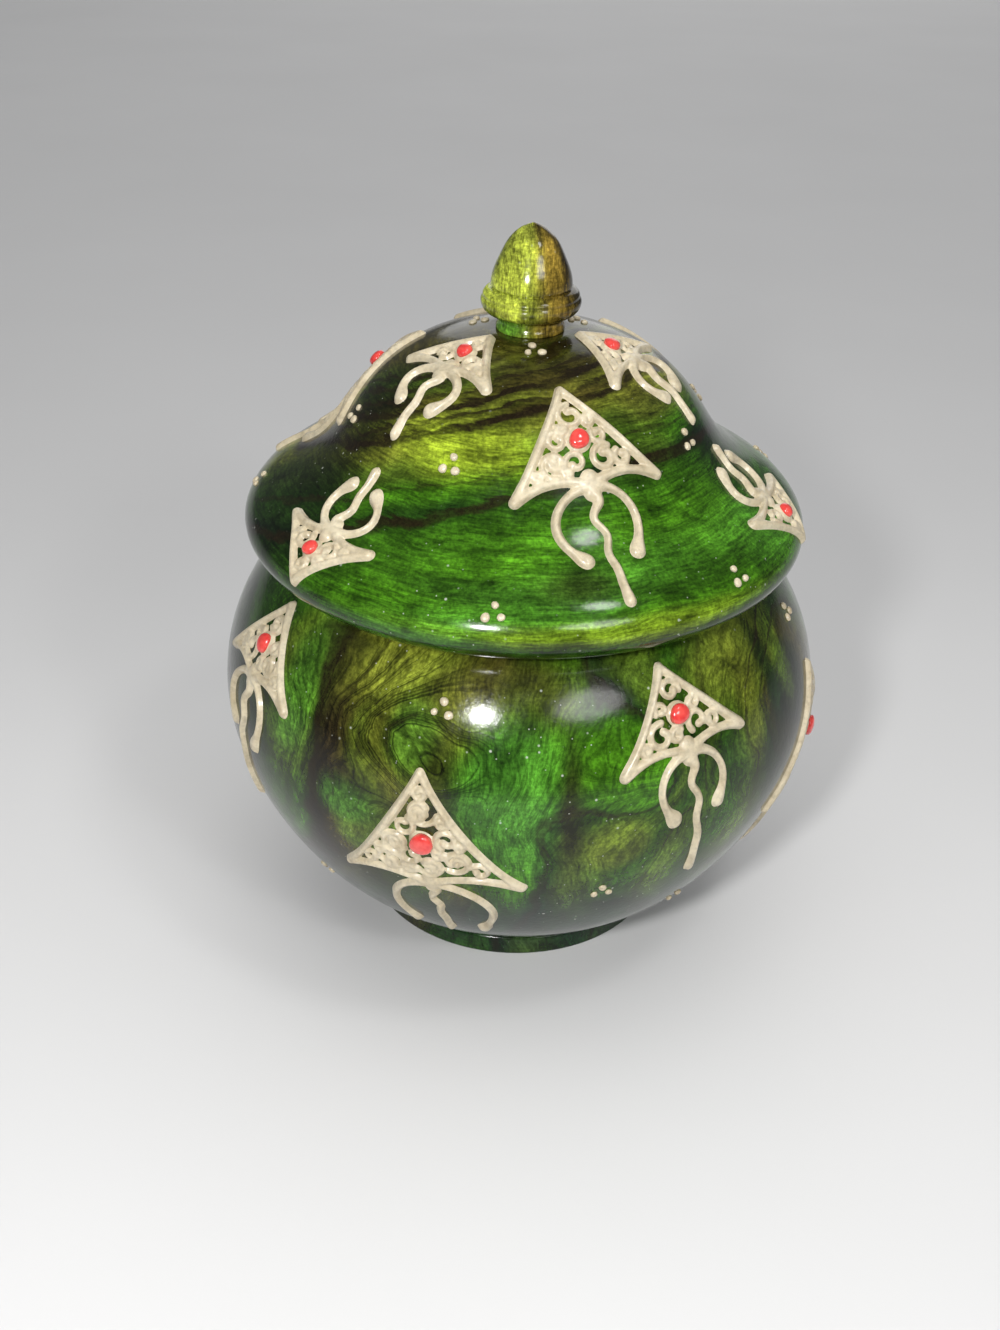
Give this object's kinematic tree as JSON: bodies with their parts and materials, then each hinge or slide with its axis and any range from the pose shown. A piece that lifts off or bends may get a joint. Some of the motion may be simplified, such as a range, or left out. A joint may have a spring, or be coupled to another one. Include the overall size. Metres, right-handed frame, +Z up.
{
  "type": "lidded jar",
  "caption": "Round turned wooden jar on a flat foot, with an overhanging domed lift-off lid, an acorn finial and raised cream pendant ornaments with red drops.",
  "frame": {"origin": "middle of the foot's flat underside, on the turning axis", "axes": "+Z up along the turning axis, -Y towards the front that the picture shows, +X to the right seen from the front"},
  "size_m": [0.1391, 0.1392, 0.165],
  "materials": {
    "green_stained_wood": "figured wood, green stained, glossy lacquer",
    "olive_stained_wood": "turned wood, olive to gold stain, glossy lacquer",
    "cream_relief_paste": "hardened piped paste, cream, satin gloss",
    "coral_red_drop": "coral red enamel drop, glossy"
  },
  "bodies": {
    "jar": {"jar_body": "green_stained_wood", "belly_high_pendant_1": "cream_relief_paste", "belly_high_pendant_2": "cream_relief_paste", "belly_high_pendant_3": "cream_relief_paste", "belly_high_pendant_4": "cream_relief_paste", "belly_low_pendant_1": "cream_relief_paste", "belly_low_pendant_2": "cream_relief_paste", "belly_low_pendant_3": "cream_relief_paste", "belly_low_pendant_4": "cream_relief_paste", "belly_red_drops": "coral_red_drop", "belly_dots": "cream_relief_paste"},
    "lid": {"lid": "green_stained_wood", "finial": "olive_stained_wood", "crown_low_pendant_1": "cream_relief_paste", "crown_low_pendant_2": "cream_relief_paste", "crown_low_pendant_3": "cream_relief_paste", "crown_high_pendant_1": "cream_relief_paste", "crown_high_pendant_2": "cream_relief_paste", "crown_high_pendant_3": "cream_relief_paste", "brim_pendant_1": "cream_relief_paste", "brim_pendant_2": "cream_relief_paste", "brim_pendant_3": "cream_relief_paste", "lid_red_drops": "coral_red_drop", "lid_dots": "cream_relief_paste"}
  },
  "joints": [
    {"name": "lid_lift", "type": "slide", "parent": "jar", "child": "lid", "axis": [0, 0, 1], "range_m": [0, 0.12]}
  ]
}
